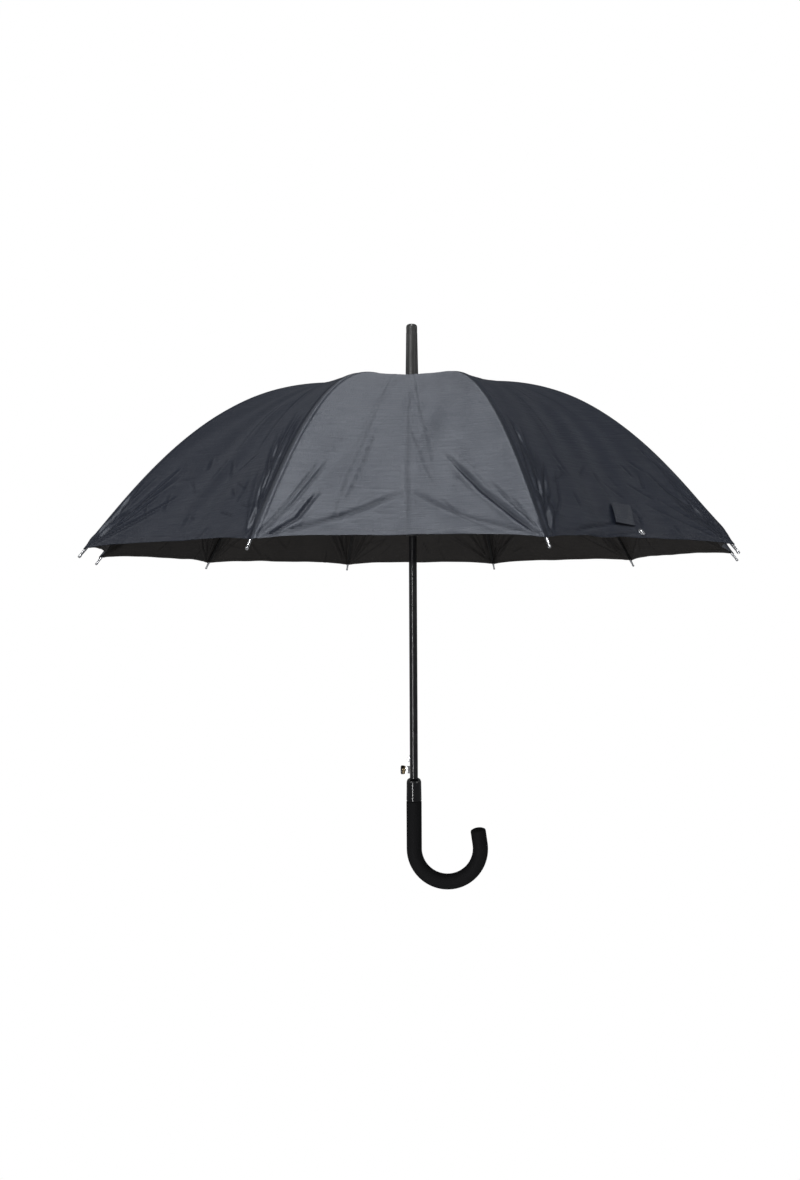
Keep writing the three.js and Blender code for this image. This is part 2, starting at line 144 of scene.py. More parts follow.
class Look:
    """A node material: a Principled shader with short helpers for the nodes that feed it."""

    def __init__(self, name, **constants):
        self.material = bpy.data.materials.new(name)
        self.material.use_nodes = True
        self.tree = self.material.node_tree
        self.shader = self.tree.nodes["Principled BSDF"]
        for key, value in constants.items():
            self.shader.inputs[key.replace("_", " ")].default_value = value

    def node(self, kind, inputs=None, **settings):
        made = self.tree.nodes.new("ShaderNode" + kind)
        for key, value in settings.items():
            setattr(made, key, value)
        for key, value in (inputs or {}).items():
            if isinstance(value, bpy.types.NodeSocket):
                self.tree.links.new(value, made.inputs[key])
            else:
                made.inputs[key].default_value = value
        return made

    def place(self):
        return self.node("TexCoord").outputs["Object"]

    def noise(self, vector, scale, detail=3.0, roughness=0.5):
        inputs = {"Vector": vector, "Scale": scale, "Detail": detail, "Roughness": roughness}
        return self.node("TexNoise", inputs).outputs["Fac"]

    def stretched(self, vector, scale):
        return self.node("Mapping", {"Vector": vector, "Scale": scale}).outputs[0]

    def math(self, operation, a, b=0.5):
        return self.node("Math", {0: a, 1: b}, operation=operation).outputs[0]

    def ramp(self, value, *stops):
        made = self.node("ValToRGB", {"Fac": value})
        while len(made.color_ramp.elements) < len(stops):
            made.color_ramp.elements.new(0.5)
        for element, (place, colour) in zip(made.color_ramp.elements, stops):
            element.position = place
            element.color = (*colour, 1) if len(colour) == 3 else colour
        return made.outputs["Color"]

    def span(self, value, low, high, to_low=0.0, to_high=1.0):
        inputs = {"Value": value, "From Min": low, "From Max": high, "To Min": to_low, "To Max": to_high}
        return self.node("MapRange", inputs).outputs[0]

    def mix(self, share, a, b):
        made = self.node("Mix", data_type="RGBA")
        for socket, value in ((made.inputs[0], share), (made.inputs[6], a), (made.inputs[7], b)):
            if isinstance(value, bpy.types.NodeSocket):
                self.tree.links.new(value, socket)
            else:
                socket.default_value = value
        return made.outputs[2]

    def bump(self, height, distance, strength=1.0, below=None):
        inputs = {"Height": height, "Distance": distance, "Strength": strength}
        if below is not None:
            inputs["Normal"] = below
        return self.node("Bump", inputs).outputs[0]

    def feed(self, socket, value):
        self.tree.links.new(value, self.shader.inputs[socket])
        return self


THREAD_PITCH = 0.00045
STITCH_PITCH = 0.0032
STITCHES_ABOVE_HEM = 6.0    # mm, as the cloth's "edge" attribute
STITCH_HALF_WIDTH = 0.55    # mm


def cloth_look(name, dark, light, sheen, specular, silk):
    """Woven cloth with slubs and stitches, painted shade along its creases and a darker colour beside the
    rib seams. Silk is how much its shine follows the threads.
    """
    look = Look(name, Sheen_Weight=sheen, Sheen_Roughness=0.4, Anisotropic=silk)
    look.shader.inputs["Specular IOR Level"].default_value = specular
    look.shader.inputs["Sheen Tint"].default_value = (0.75, 0.83, 1.0, 1)
    look.shader.inputs["Specular Tint"].default_value = (0.86, 0.91, 1.0, 1)
    look.shader.inputs["Anisotropic Rotation"].default_value = 0.25
    look.feed("Tangent", look.node("Tangent", direction_type="UV_MAP", uv_map="weave").outputs[0])
    weave = look.node("UVMap", uv_map="weave").outputs[0]
    crease = look.node("Attribute", attribute_name="crease").outputs["Fac"]
    edge = look.node("Attribute", attribute_name="edge").outputs["Fac"]
    seam = look.node("Attribute", attribute_name="seam").outputs["Fac"]
    split = look.node("SeparateXYZ", {0: weave})
    thread = 2 * math.pi / THREAD_PITCH
    warp = look.math("SINE", look.math("MULTIPLY", split.outputs[0], thread))
    weft = look.math("SINE", look.math("MULTIPLY", split.outputs[1], thread))
    cross = look.math("MULTIPLY", warp, weft)
    slub_across = look.noise(look.stretched(weave, (60, 900, 1)), 1.0, 2)
    slub_along = look.noise(look.stretched(weave, (900, 50, 1)), 1.0, 2)
    slubs = look.math("MULTIPLY", look.math("ADD", slub_across, slub_along), 0.5)
    cloud = look.noise(weave, 9.0, 4, 0.6)
    crumple = look.noise(weave, 34.0, 5, 0.62)
    tone = look.math("ADD", look.math("MULTIPLY", slubs, 0.6), look.math("MULTIPLY", cloud, 0.4))
    base = look.ramp(tone, (0.3, dark), (0.7, light))
    # Painted shade: the colour darkens along the creases of the folds, and it is darker within about 2 mm
    # of a rib seam.
    crease_shade_seam_mask = look.math("MAXIMUM", crease, look.span(seam, 0.6, 2.2, 1.0, 0.0))
    creased = look.span(crease_shade_seam_mask, 0.0, 1.0, 0.0, 0.8)
    crease_shaded_base = look.mix(creased, base, (dark[0] * 0.3, dark[1] * 0.3, dark[2] * 0.35, 1))
    along_hem = look.math("SINE", look.math("MULTIPLY", split.outputs[0], 2 * math.pi / STITCH_PITCH))
    row = look.math("COMPARE", edge, STITCHES_ABOVE_HEM)
    row.node.inputs[2].default_value = STITCH_HALF_WIDTH
    stitch = look.math("MULTIPLY", row, look.math("GREATER_THAN", along_hem, 0.1))
    stitched = look.mix(look.math("MULTIPLY", stitch, 0.6), crease_shaded_base, (0.006, 0.006, 0.008, 1))
    look.feed("Base Color", stitched)
    streak = look.noise(look.stretched(weave, (22, 330, 1)), 1.0, 4, 0.65)
    worn = look.math("ADD", look.math("MULTIPLY", streak, 0.6), look.math("MULTIPLY", cloud, 0.4))
    shine = look.span(worn, 0.3, 0.7, 0.40, 0.60)
    look.feed("Roughness", look.math("ADD", shine, look.math("MULTIPLY", crease_shade_seam_mask, 0.25)))
    fine = look.bump(cross, 0.00002, 0.5)
    threads = look.bump(slubs, 0.00022, 0.6, fine)
    slubby = look.bump(streak, 0.0009, 0.7, threads)
    soft = look.bump(crumple, 0.0016, 0.4, slubby)
    sewn = look.bump(stitch, -0.0004, 0.8, soft)
    look.feed("Normal", sewn)
    return look.material


def moulded_look(name, colour, roughness, grain=1800.0, depth=0.00003, coat=0.0, dust=0.03, gloss=0.5):
    look = Look(name, Coat_Weight=coat, Coat_Roughness=0.06, Specular_IOR_Level=gloss)
    place = look.place()
    cloud = look.noise(place, 35.0, 4, 0.6)
    speck = look.noise(place, grain, 2, 0.5)
    lighter = tuple(c + dust for c in colour)
    look.feed("Base Color", look.ramp(cloud, (0.35, colour), (0.75, lighter)))
    look.feed("Roughness", look.span(cloud, 0.3, 0.7, roughness - 0.05, roughness + 0.07))
    look.feed("Normal", look.bump(speck, depth, 0.5))
    return look.material


def metal_look(name, colour, roughness):
    """Drawn metal, with fine lines along Z."""
    look = Look(name, Metallic=1.0)
    place = look.place()
    drawn = look.noise(look.stretched(place, (3000, 3000, 100)), 1.0, 3)
    cloud = look.noise(place, 60.0, 4, 0.6)
    darker = tuple(c * 0.72 for c in colour)
    look.feed("Base Color", look.ramp(cloud, (0.3, darker), (0.65, colour)))
    look.feed("Roughness", look.span(drawn, 0.2, 0.8, roughness * 0.8, roughness * 1.3))
    look.feed("Normal", look.bump(drawn, 0.00003, 0.4))
    return look.material


def painted_look(name, colour, roughness, coat):
    look = Look(name, Coat_Weight=coat, Coat_Roughness=0.05, Metallic=0.0, Specular_IOR_Level=0.55)
    place = look.place()
    cloud = look.noise(place, 90.0, 4, 0.6)
    peel = look.noise(look.stretched(place, (1, 1, 0.25)), 700.0, 2)
    look.feed("Base Color", look.ramp(cloud, (0.35, colour), (0.8, tuple(c + 0.012 for c in colour))))
    look.feed("Roughness", look.span(cloud, 0.3, 0.7, roughness - 0.04, roughness + 0.08))
    look.feed("Normal", look.bump(peel, 0.000008, 0.3))
    return look.material


LOOKS = {
    "cloth_out": cloth_look(
        "canopy_cloth_outer", (0.007, 0.0088, 0.0152), (0.0145, 0.0178, 0.0285), 0.05, 1.0, 0.95),
    # The underside has the cloth's own colour, made lighter and warmer with painted light that shines
    # through the thin cloth from above.
    "cloth_in": cloth_look(
        "canopy_cloth_inner_painted_backlight", (0.034, 0.031, 0.028), (0.058, 0.053, 0.048), 0.0, 0.2, 0.0),
    "strap": cloth_look("strap_cloth", (0.013, 0.015, 0.021), (0.026, 0.029, 0.038), 0.1, 0.8, 0.0),
    "ferrule": moulded_look("ferrule_plastic", (0.022, 0.022, 0.021), 0.36, 1400.0, 0.00004, 0.15, 0.02),
    "fitting": moulded_look("fitting_plastic", (0.02, 0.02, 0.021), 0.45),
    "gloss": moulded_look("collar_gloss", (0.003, 0.003, 0.004), 0.2, 300.0, 0.0000012, 1.0, 0.003),
    "grip": moulded_look("grip_rubber", (0.006, 0.006, 0.0068), 0.75, 2600.0, 0.00008, 0.0, 0.004, 0.2),
    "shaft": painted_look("shaft_enamel", (0.004, 0.004, 0.006), 0.3, 1.0),
    "frame": painted_look("frame_enamel", (0.012, 0.012, 0.013), 0.35, 0.2),
    "bright": metal_look("bright_steel", (0.78, 0.79, 0.81), 0.2),
    "spring": metal_look("spring_wire", (0.5, 0.51, 0.53), 0.32),
    "brass": metal_look("button_brass", (0.78, 0.62, 0.38), 0.24),
}

# ---------------------------------------------------------------- mesh making


def mesh_object(name, points, faces, looks, indexes=None):
    mesh = bpy.data.meshes.new(name)
    mesh.from_pydata([tuple(p) for p in points], [], [tuple(f) for f in faces])
    for look in looks:
        mesh.materials.append(LOOKS[look])
    if indexes is not None:
        mesh.polygons.foreach_set("material_index", indexes)
    mesh.polygons.foreach_set("use_smooth", [True] * len(mesh.polygons))
    made = bpy.data.objects.new(name, mesh)
    bpy.context.scene.collection.objects.link(made)
    return made


def rib_frame(rib):
    """Outward and sideways directions of a rib's radial plane."""
    angle = rib * PITCH
    return Vector((math.cos(angle), math.sin(angle), 0)), Vector((-math.sin(angle), math.cos(angle), 0))


def slope_at(length):
    t = length / RIB_LENGTH
    peak = BRACKET_AT / RIB_LENGTH
    bent = np.where(t < peak, t * t / peak, 1 - (1 - t) ** 2 / (1 - peak))
    return RIB_TOP_SLOPE + RIB_BEND * bent


STEPS = 2400
_lengths = np.linspace(0, RIB_LENGTH, STEPS + 1)
_middles = slope_at((_lengths[1:] + _lengths[:-1]) / 2)
_radii = np.concatenate([[0], np.cumsum(np.cos(_middles))]) * RIB_LENGTH / STEPS
_heights = -np.concatenate([[0], np.cumsum(np.sin(_middles))]) * RIB_LENGTH / STEPS


def rib_point(length, outwards=0.0):
    """Radius and height of a point on the rib's middle line, or outwards from it. Works on arrays."""
    slope = slope_at(length)
    radius = np.interp(length, _lengths, _radii) + outwards * np.sin(slope)
    height = NOTCH_Z + np.interp(length, _lengths, _heights) + outwards * np.cos(slope)
    return radius, height


def lathe(name, profile, look, segments=64, place=None):
    """A turned piece about Z. The profile is a closed or axis-to-axis list of (radius, height)."""
    points, faces, rows = [], [], []
    for radius, height in profile:
        if radius < 1e-7:
            rows.append([len(points)] * segments)
            points.append((0, 0, height))
            continue
        rows.append(list(range(len(points), len(points) + segments)))
        for i in range(segments):
            angle = 2 * math.pi * i / segments
            points.append((radius * math.cos(angle), radius * math.sin(angle), height))
    for low, high in zip(rows, rows[1:]):
        for i in range(segments):
            j = (i + 1) % segments
            corners = [low[i], low[j], high[j], high[i]]
            corners = [c for n, c in enumerate(corners) if c not in corners[:n]]
            if len(corners) > 2:
                faces.append(corners)
    if place is not None:
        points = [place @ Vector(p) for p in points]
    return mesh_object(name, points, faces, [look])


def rounded(profile, radius=0.0004, steps=3):
    """The profile with each inner corner rounded."""
    done = [profile[0]]
    for before, corner, after in zip(profile, profile[1:], profile[2:]):
        c = Vector(corner)
        a, b = Vector(before) - c, Vector(after) - c
        cut = min(radius, a.length * 0.45, b.length * 0.45)
        start, end = c + a.normalized() * cut, c + b.normalized() * cut
        for i in range(steps + 1):
            t = i / steps
            done.append(tuple(start * (1 - t) ** 2 + c * 2 * t * (1 - t) + end * t * t))
    done.append(profile[-1])
    return done


def sweep(name, path, sections, look):
    """A capped tube with the given ring of (side, up) offsets at each (point, side, up) of the path."""
    points, faces = [], []
    count = len(sections[0])
    for (centre, side, up), section in zip(path, sections):
        points += [centre + side * s + up * u for s, u in section]
    for row in range(len(path) - 1):
        for i in range(count):
            j = (i + 1) % count
            faces.append((row * count + i, row * count + j, (row + 1) * count + j, (row + 1) * count + i))
    faces.append(tuple(reversed(range(count))))
    last = (len(path) - 1) * count
    faces.append(tuple(last + i for i in range(count)))
    return mesh_object(name, points, faces, [look])


def circle(radius, sides):
    return [(radius * math.cos(2 * math.pi * i / sides), radius * math.sin(2 * math.pi * i / sides))
            for i in range(sides)]


def auto_smooth(obj, degrees=35):
    """Sharp edges stay sharp where faces meet at more than this angle."""
    modifier = obj.modifiers.new("edges", "EDGE_SPLIT")
    modifier.split_angle = math.radians(degrees)
    return obj


def finish_node(name, look, bevel=0.0002):
    """A CAD node that stays: small bevels, smooth curved faces and a finished material."""
    node = nodes[name]
    node.data.materials.clear()
    node.data.materials.append(LOOKS[look])
    weld = node.modifiers.new("weld", "WELD")
    weld.merge_threshold = 0.00002
    edges = node.modifiers.new("bevel", "BEVEL")
    edges.width = bevel
    edges.segments = 2
    edges.limit_method = "ANGLE"
    edges.angle_limit = math.radians(40)
    edges.harden_normals = False
    node.data.polygons.foreach_set("use_smooth", [True] * len(node.data.polygons))
    split = node.modifiers.new("edges", "EDGE_SPLIT")
    split.split_angle = math.radians(32)


# ---------------------------------------------------------------- canopy

COLUMNS = 128         # of one gore
INNER_ROWS = 56       # apex to the bracket
OUTER_ROWS = 132      # bracket to the hem
APEX_AT = 0.0085
HEM_AT_RIB = 0.588
HEM_RISE = 0.0135
CLOTH_LIFT = 0.0030
SAG = 0.022
CLOTH = 0.00035
# How far the left halves pass over the right ones, and the right ones under.
CROWN_LAP = {"left": 0.003, "right": -0.001}
SKIRT_LAP = {"left": 0.006, "right": -0.0015}
FRONT = 7             # the gore that faces the camera
FRONT_RIGHT = 8
FRONT_LEFT = 6


def gore_columns():
    x = np.linspace(-1, 1, COLUMNS + 1)
    return x + 0.3 * np.sin(math.pi * x) / math.pi


def row_lengths(w):
    """Length along the rib of every row, at each column."""
    hem = HEM_AT_RIB - HEM_RISE * (1 - np.abs(w) ** 3)
    inner = np.linspace(APEX_AT, BRACKET_AT, INNER_ROWS + 1)[:, None] * np.ones_like(w)[None, :]
    share = np.linspace(0, 1, OUTER_ROWS + 1)[1:, None]
    outer = BRACKET_AT + (hem[None, :] - BRACKET_AT) * share
    return np.vstack([inner, outer])


# Folds of the gore that faces the camera: (across, length) points, depth and width in mm.
FRONT_FOLDS = [
    ([(0.055, 300), (0.055, 388), (0.06, 510), (0.055, 586)], 0.8, 1.6),
    ([(-0.97, 586), (-0.45, 552), (0.05, 511)], 2.2, 4.5),
    ([(0.06, 510), (0.41, 545), (0.97, 586)], 1.5, 4.0),
    ([(-0.22, 130), (-0.29, 318), (-0.42, 440)], 0.4, 1.7),
    ([(-0.26, 318), (-0.36, 425), (-0.44, 490), (-0.47, 565)], 0.6, 1.8),
    ([(-0.25, 400), (-0.33, 475), (-0.41, 535)], 0.8, 2.0),
    ([(0.10, 90), (0.12, 200), (0.14, 300), (0.22, 402), (0.29, 511)], 0.45, 1.6),
    ([(0.05, 388), (0.20, 475), (0.29, 511)], 0.6, 1.8),
    ([(-0.63, 515), (-0.73, 556), (-0.90, 584)], 2.6, 3.2),
    ([(-0.62, 462), (-0.79, 533), (-0.97, 587)], 1.1, 2.2),
    ([(-0.70, 470), (-0.85, 540), (-0.98, 587)], 0.9, 2.0),
    ([(0.46, 470), (0.63, 513), (0.83, 557), (0.97, 587)], 2.9, 3.6),
    ([(0.40, 452), (0.56, 496)], 1.0, 2.2),
    ([(0.84, 528), (0.96, 578)], 0.9, 2.0),
    ([(0.72, 500), (0.90, 560)], 0.7, 1.8),
    ([(0.30, 520), (0.42, 548), (0.66, 575)], 0.6, 1.8),
    ([(-0.05, 588), (0.35, 572), (0.60, 580)], 0.5, 2.2),
]


# The pleat that the closing strap pulls into its gore.
STRAP_FOLDS = [
    ([(-0.70, 573), (-0.45, 562), (-0.16, 552)], 2.6, 3.6),
    ([(-0.60, 579), (-0.30, 572), (0.02, 566)], 1.6, 3.0),
    ([(0.10, 522), (0.14, 545), (0.07, 566)], 1.0, 2.4),
]


def random_folds(gore):
    """Folds that fan out of a gore's two tips and a few soft crumples between them."""
    rng = random.Random(400 + gore)
    folds = list(STRAP_FOLDS) if gore == FRONT_RIGHT else []
    for side in (-1, 1):
        dense = (gore, side) in ((FRONT_LEFT, 1), (FRONT_RIGHT, -1))
        for _ in range(17 if dense else 11):
            reach = rng.uniform(0.05, 0.5 if dense else 0.8)
            rise = rng.uniform(60, 230 if dense else 190)
            start = (side * rng.uniform(0.93, 0.99), 587 - rng.uniform(0, 8))
            bow = rng.uniform(-0.06, 0.06)
            end = (side * (1 - reach * rng.uniform(0.35, 1.0)), 587 - rise)
            middle = ((start[0] + end[0]) / 2 + bow, (start[1] + end[1]) / 2)
            deepest = 1.9 if dense else 2.8
            folds.append(([start, middle, end], rng.uniform(0.7, deepest), rng.uniform(1.8, 4.0)))
    for _ in range(16):
        w, length = rng.uniform(-0.7, 0.7), rng.uniform(430, 570)
        turn, long = rng.uniform(-0.3, 0.3), rng.uniform(-45, 45)
        fold = [(w, length), (w + turn, length + long)]
        folds.append((fold, rng.uniform(0.6, 1.6), rng.uniform(1.8, 3.4)))
    for _ in range(4):
        w, length = rng.uniform(-0.5, 0.5), rng.uniform(200, 380)
        fold = [(w, length), (w * 1.15, length + rng.uniform(80, 160))]
        folds.append((fold, rng.uniform(0.3, 0.8), rng.uniform(1.8, 3.0)))
    return folds


def fold_height(folds, w, lengths, radii):
    """Depth of the folds below the smooth cloth in metres, and how sharply creased each point is."""
    across = w[None, :] * radii * math.sin(HALF) / MM
    along = lengths / MM
    depth = np.zeros_like(across)
    sharp = np.zeros_like(across)
    for points, deep, wide in folds:
        line = []
        for side, length in points:
            radius = float(np.interp(length * MM, _lengths, _radii))
            line.append((side * radius * math.sin(HALF) / MM, length))
        total = sum(math.dist(a, b) for a, b in zip(line, line[1:]))
        run = 0.0
        best = np.full(across.shape, 1e9)
        share = np.zeros_like(across)
        for (ua, va), (ub, vb) in zip(line, line[1:]):
            du, dv = ub - ua, vb - va
            long = math.hypot(du, dv)
            t = np.clip(((across - ua) * du + (along - va) * dv) / long ** 2, 0, 1)
            gap = np.hypot(across - ua - t * du, along - va - t * dv)
            closer = gap < best
            share = np.where(closer, (run + t * long) / total, share)
            best = np.minimum(best, gap)
            run += long
        ends = np.clip(np.minimum(share, 1 - share) * 5, 0.0, 1) ** 0.7
        valley = np.exp(-best / wide * 2.0) - 0.3 * np.exp(-((best - 1.5 * wide) / wide) ** 2)
        depth += 0.8 * deep * ends * valley
        sharp = np.maximum(sharp, ends * np.exp(-(best / 1.2) ** 2) * min(1, 0.25 + deep / 5))
    return depth * MM, sharp


def soft_waves(gore, w, lengths):
    """Slow unevenness of stretched cloth: none at the ribs, most towards the hem."""
    rng = random.Random(70 + gore)
    height = np.zeros_like(lengths)
    t = lengths / RIB_LENGTH
    for _ in range(7):
        a, b = rng.uniform(1.5, 6.0), rng.uniform(3.0, 11.0)
        phase, lean = rng.uniform(0, 6.28), rng.uniform(-3, 3)
        height += np.sin(a * math.pi * w[None, :] + b * t * math.pi + phase + lean * w[None, :] * t)
    return height * 0.28 * MM * (1 - w[None, :] ** 2) * np.clip((t - 0.15) * 1.6, 0, 1)


def canopy_grid():
    """The whole cloth as one grid that closes on itself: points, normals and the facts for its material."""
    w = gore_columns()
    lengths = row_lengths(w)
    radii = np.interp(lengths, _lengths, _radii)
    rows = lengths.shape[0]
    total = RIBS * COLUMNS
    points = np.zeros((rows, total, 3))
    crease = np.zeros((rows, total))
    for gore in range(RIBS):
        folds = FRONT_FOLDS if gore == FRONT else random_folds(gore)
        fold, sharp = fold_height(folds, w, lengths, radii)
        taut = np.clip((1 - np.abs(w)) / 0.03, 0, 1)[None, :]
        sag = SAG * radii * (1 - w[None, :] ** 2)
        seam = 0.0007 * np.exp(-(((1 - np.abs(w[None, :])) * radii * math.sin(HALF)) / 0.0016) ** 2)
        welt = 0.0007 * np.exp(-(((1 + w[None, :]) * radii * math.sin(HALF) - 0.0045) / 0.0018) ** 2)
        outwards = CLOTH_LIFT - sag - fold * taut + soft_waves(gore, w, lengths) - seam + welt
        out_r, out_z = rib_point(lengths, outwards)
        plane_r = out_r * math.cos(HALF)
        side = w[None, :] * radii * math.sin(HALF)
        angle = (gore + 0.5) * PITCH
        x = plane_r * math.cos(angle) - side * math.sin(angle)
        y = plane_r * math.sin(angle) + side * math.cos(angle)
        start = gore * COLUMNS
        block = np.stack([x, y, out_z], axis=2)
        points[:, start:start + COLUMNS] = block[:, :-1]
        crease[:, start:start + COLUMNS] = sharp[:, :-1]
    across = np.roll(points, -1, axis=1) - np.roll(points, 1, axis=1)
    along = np.gradient(points, axis=0)
    normals = np.cross(along, across)
    normals /= np.linalg.norm(normals, axis=2)[:, :, None]
    return w, lengths, radii, points, normals, crease


def cloth_faces(shape):
    """Faces of a closed cloth from two grids of points, and which of them are its underside."""
    count = shape[0] * shape[1]
    index = np.arange(count).reshape(shape)
    a, b, c, d = index[:-1, :-1], index[:-1, 1:], index[1:, 1:], index[1:, :-1]
    upper = np.stack([a, d, c, b], axis=2).reshape(-1, 4)
    lower = np.stack([a, b, c, d], axis=2).reshape(-1, 4) + count
    rim = np.concatenate([index[0, :], index[1:, -1], index[-1, -2::-1], index[-2:0:-1, 0]])
    after = np.roll(rim, -1)
    wall = np.stack([rim, after, after + count, rim + count], axis=1)
    under = np.repeat([0, 1, 0], [len(upper), len(lower), len(wall)])
    return np.concatenate([upper, lower, wall]), under


def add_facts(mesh, facts, across, along):
    """What the cloth's material reads, the same on both sides: values at its points and a UV map."""
    for key, values in facts.items():
        layer = mesh.attributes.new(key, "FLOAT", "POINT")
        layer.data.foreach_set("value", np.tile(values.ravel(), 2).astype(np.float32))
    uv = np.tile(np.stack([across, along], axis=2).reshape(-1, 2), (2, 1))
    corners = np.zeros(len(mesh.loops), int)
    mesh.loops.foreach_get("vertex_index", corners)
    layer = mesh.uv_layers.new(name="weave")
    layer.data.foreach_set("uv", uv[corners].astype(np.float32).ravel())


def half_gore(rib, hand, outer_part, grid):
    """The cloth from a rib to the middle of the gore on one side of it, above or below the bracket."""
    w, lengths, radii, points, normals, crease = grid
    half = COLUMNS // 2
    total = RIBS * COLUMNS
    first = rib * COLUMNS if hand == "left" else rib * COLUMNS - half
    columns = [(first + i) % total for i in range(half + 1)]
    within = list(range(half + 1)) if hand == "left" else list(range(half, COLUMNS + 1))
    rows = range(INNER_ROWS, INNER_ROWS + OUTER_ROWS + 1) if outer_part else range(INNER_ROWS + 1)
    rows = list(rows)
    top = points[np.ix_(rows, columns)]
    up = normals[np.ix_(rows, columns)]
    shape = top.shape[:2]
    fine_crease = crease[np.ix_(rows, columns)]
    edge = (lengths[-1][within][None, :] - lengths[np.ix_(rows, within)]) / MM
    thick = CLOTH + 0.0004 * (edge < 7.5)
    under = top - up * thick[:, :, None]
    faces, kinds = cloth_faces(shape)
    part = "skirt" if outer_part else "crown"
    name = f"canopy_{part}_{rib + 1:02d}_{hand}"
    everything = np.concatenate([top.reshape(-1, 3), under.reshape(-1, 3)])
    made = mesh_object(name, everything, faces, ["cloth_out", "cloth_in"], kinds)
    mesh = made.data
    to_rib = (1 - np.abs(w[within]))[None, :] * radii[np.ix_(rows, within)] * math.sin(HALF) / MM
    u = w[within][None, :] * radii[np.ix_(rows, within)] * math.sin(HALF) + 0.37 * rib
    # The crease values darken the cloth's colour along its folds: painted shade.
    facts = {"crease": fine_crease, "edge": edge, "seam": to_rib}
    add_facts(mesh, facts, u, lengths[np.ix_(rows, within)])
    smooth = np.concatenate([up.reshape(-1, 3), -up.reshape(-1, 3)])
    mesh.normals_split_custom_set_from_vertices(smooth.tolist())
    return made


def gather(piece, rib, hand, outer_part):
    """Works out the way a piece of cloth would lie along its rib when the umbrella closes, and gives the
    piece a mesh of its own.
    """
    out, side = rib_frame(rib)
    near, far = (BRACKET_AT, HEM_AT_RIB) if outer_part else (BRACKET_AT, APEX_AT)
    r0, z0 = (float(v) for v in rib_point(near))
    r1, z1 = (float(v) for v in rib_point(far))
    outward = (out * (z0 - z1) + Vector((0, 0, r1 - r0))) * (1 if outer_part else -1)
    outward.normalize()
    wide = r1 if outer_part else r0
    middle = out * -(wide * math.sin(HALF) ** 2) + side * (wide * math.sin(HALF) * math.cos(HALF))
    lap = (SKIRT_LAP if outer_part else CROWN_LAP)[hand]
    lean = (middle.dot(outward) - lap) / middle.dot(side)
    way = (side + outward * lean).normalized()
    if hand == "right":
        way = way - 2 * way.dot(side) * side
    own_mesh(piece)


def make_canopy():
    grid = canopy_grid()
    for rib in range(RIBS):
        number = f"{rib + 1:02d}"
        for outer_part in (False, True):
            body = ("rib_outer_" if outer_part else "rib_inner_") + number
            for hand in ("left", "right"):
                cloth = half_gore(rib, hand, outer_part, grid)
                if hand == "left" and not outer_part:
                    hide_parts("canopy_panel_" + number)
                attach(cloth, body)
                gather(cloth, rib, hand, outer_part)


def cloth_point(gore, w, length, lift=0.0):
    """A point on the smooth cloth of a gore, or that far outwards from it."""
    radius = float(np.interp(length, _lengths, _radii))
    out_r, out_z = rib_point(length, CLOTH_LIFT - SAG * radius * (1 - w * w) + lift)
    angle = (gore + 0.5) * PITCH
    plane, side = float(out_r) * math.cos(HALF), w * radius * math.sin(HALF)
    return Vector((plane * math.cos(angle) - side * math.sin(angle),
                   plane * math.sin(angle) + side * math.cos(angle), float(out_z)))


TAB_WIDTH = 0.033
TAB_LENGTH = 0.034


def make_strap():
    """What shows of the closing strap: a square tab on the outside of its gore, and the snap beside it."""
    rows, columns = 26, 22
    grid = np.zeros((rows + 1, columns + 1, 3))
    for i in range(rows + 1):
        for j in range(columns + 1):
            a, b = i / rows, j / columns
            w = -0.105 + 0.215 * b - 0.085 * a
            length = 0.524 + 0.032 * a + 0.002 * b
            pucker = 0.0006 * math.sin(9 * b + 3 * a) * math.sin(math.pi * a)
            lift = 0.0022 + 0.0020 * a * (1 - b) + pucker
            grid[i, j] = cloth_point(FRONT_RIGHT, w, length, lift)
    normals = np.cross(np.gradient(grid, axis=0), np.gradient(grid, axis=1))
    normals /= np.linalg.norm(normals, axis=2)[:, :, None]
    tab = thick_patch("strap_tab", grid, normals, 0.0009, "strap")
    body = f"rib_outer_{FRONT_RIGHT + 1:02d}"
    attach(tab, body)
    gather(tab, FRONT_RIGHT, "left", True)
    centre = cloth_point(FRONT_RIGHT, 0.06, 0.5665, 0.0)
    beside = cloth_point(FRONT_RIGHT, 0.10, 0.5665, 0.0) - centre
    below = cloth_point(FRONT_RIGHT, 0.06, 0.5765, 0.0) - centre
    up = below.cross(beside).normalized()
    if up.z < 0:
        up = -up
    turn = up.to_track_quat("Z", "Y").to_matrix().to_4x4()
    profile = rounded([(0, 0.0026), (0.0014, 0.0026), (0.0022, 0.0018), (0.0030, 0.0014),
                       (0.0043, 0.0011), (0.0046, 0.0005), (0.0043, -0.0006), (0, -0.0006)], 0.0004)
    snap = lathe("strap_snap", profile, "bright", 32, Matrix.Translation(centre + up * 0.0008) @ turn)
    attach(snap, f"rib_outer_{FRONT_RIGHT + 2:02d}")
    gather(snap, FRONT_RIGHT + 1, "right", True)


def thick_patch(name, grid, normals, thick, look):
    """A closed patch of cloth, the strap tab's size, from a grid of points."""
    rows, columns = grid.shape[:2]
    points = np.concatenate([grid.reshape(-1, 3), (grid - normals * thick).reshape(-1, 3)])
    patch = mesh_object(name, points, cloth_faces((rows, columns))[0], [look])
    across = np.tile(np.linspace(0, TAB_WIDTH, columns), (rows, 1))
    down = np.tile(np.linspace(0, TAB_LENGTH, rows)[:, None], (1, columns))
    near = np.minimum(np.minimum(across, TAB_WIDTH - across), np.minimum(down, TAB_LENGTH - down)) / MM
    facts = {"crease": near * 0, "edge": near * 2.6, "seam": near * 0 + 50}
    add_facts(patch.data, facts, across, down)
    return auto_smooth(patch, 50)


# ---------------------------------------------------------------- ribs

